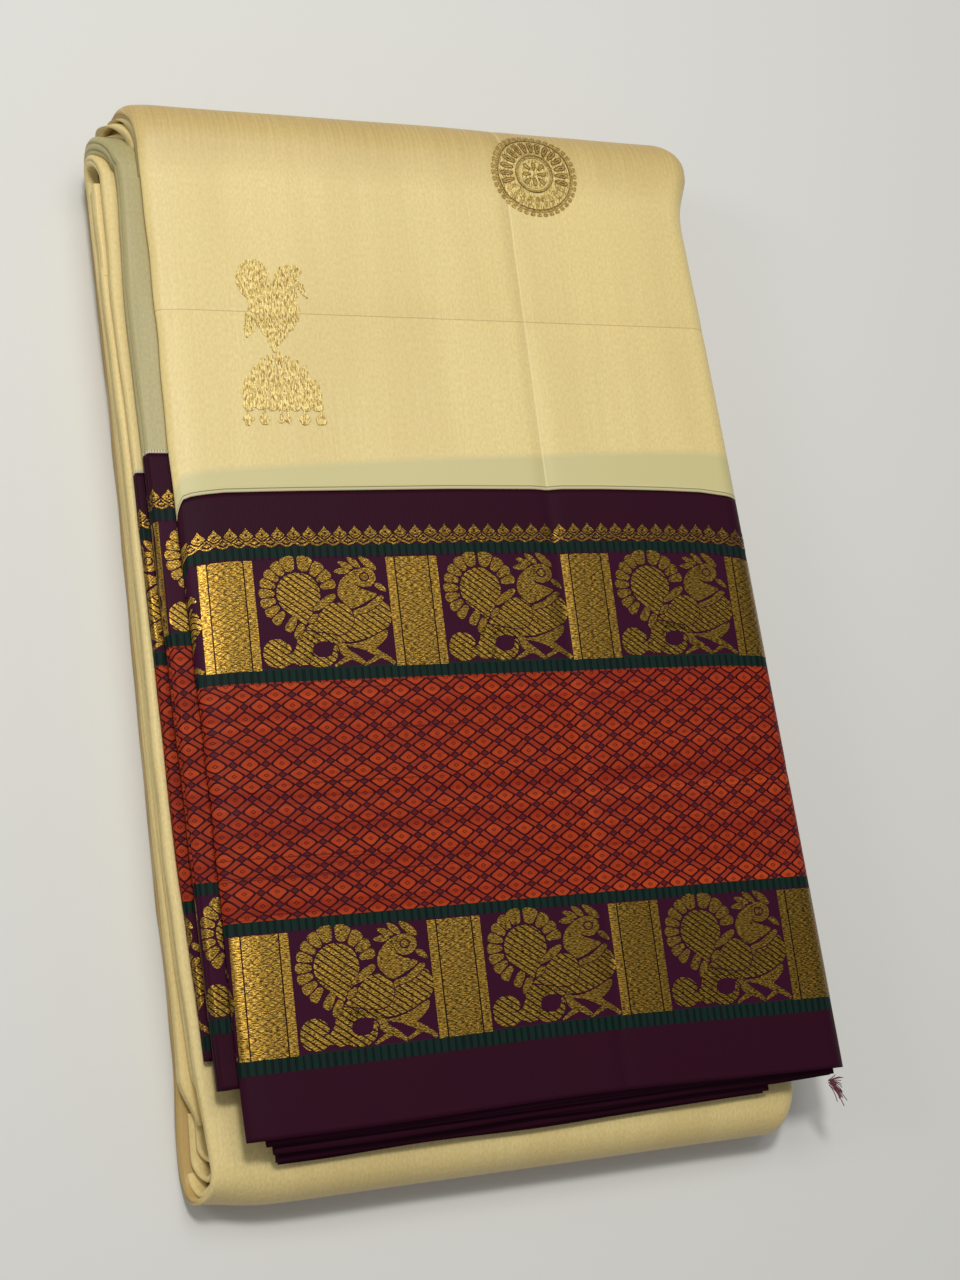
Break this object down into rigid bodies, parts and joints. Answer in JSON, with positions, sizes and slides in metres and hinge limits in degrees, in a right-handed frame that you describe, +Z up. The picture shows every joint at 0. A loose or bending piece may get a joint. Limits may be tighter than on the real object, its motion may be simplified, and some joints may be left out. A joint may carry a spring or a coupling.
{
  "type": "folded silk saree",
  "caption": "Folded silk saree lying flat: a cream cloth packet with a wide woven border on top, rolled fold edges and open fold mouths at its corners.",
  "frame": {"origin": "middle of the packet's box on the surface that it lies on", "axes": "+Z up, +Y along the packet from the border's selvedge to the big top fold, +X to the right across it, along the saree's length"},
  "size_m": [0.2784, 0.432, 0.046],
  "materials": {
    "silk_body": "cream woven silk with a soft sheen",
    "silk_fold": "greenish cream woven silk",
    "silk_border": "dark maroon silk with gold thread and rust figuring",
    "silk_thread": "loose silk thread ends"
  },
  "bodies": {
    "root": {"inner_layers": "silk_body", "top_border": "silk_border", "top_body": "silk_body", "lower_wrap": "silk_body", "second_fold_body": "silk_fold", "second_fold_border": "silk_border", "third_fold_body": "silk_body", "third_fold_border": "silk_border", "lower_inner_layer": "silk_fold", "selvedge_layers": "silk_border", "thread_tuft": "silk_thread"}
  },
  "joints": []
}
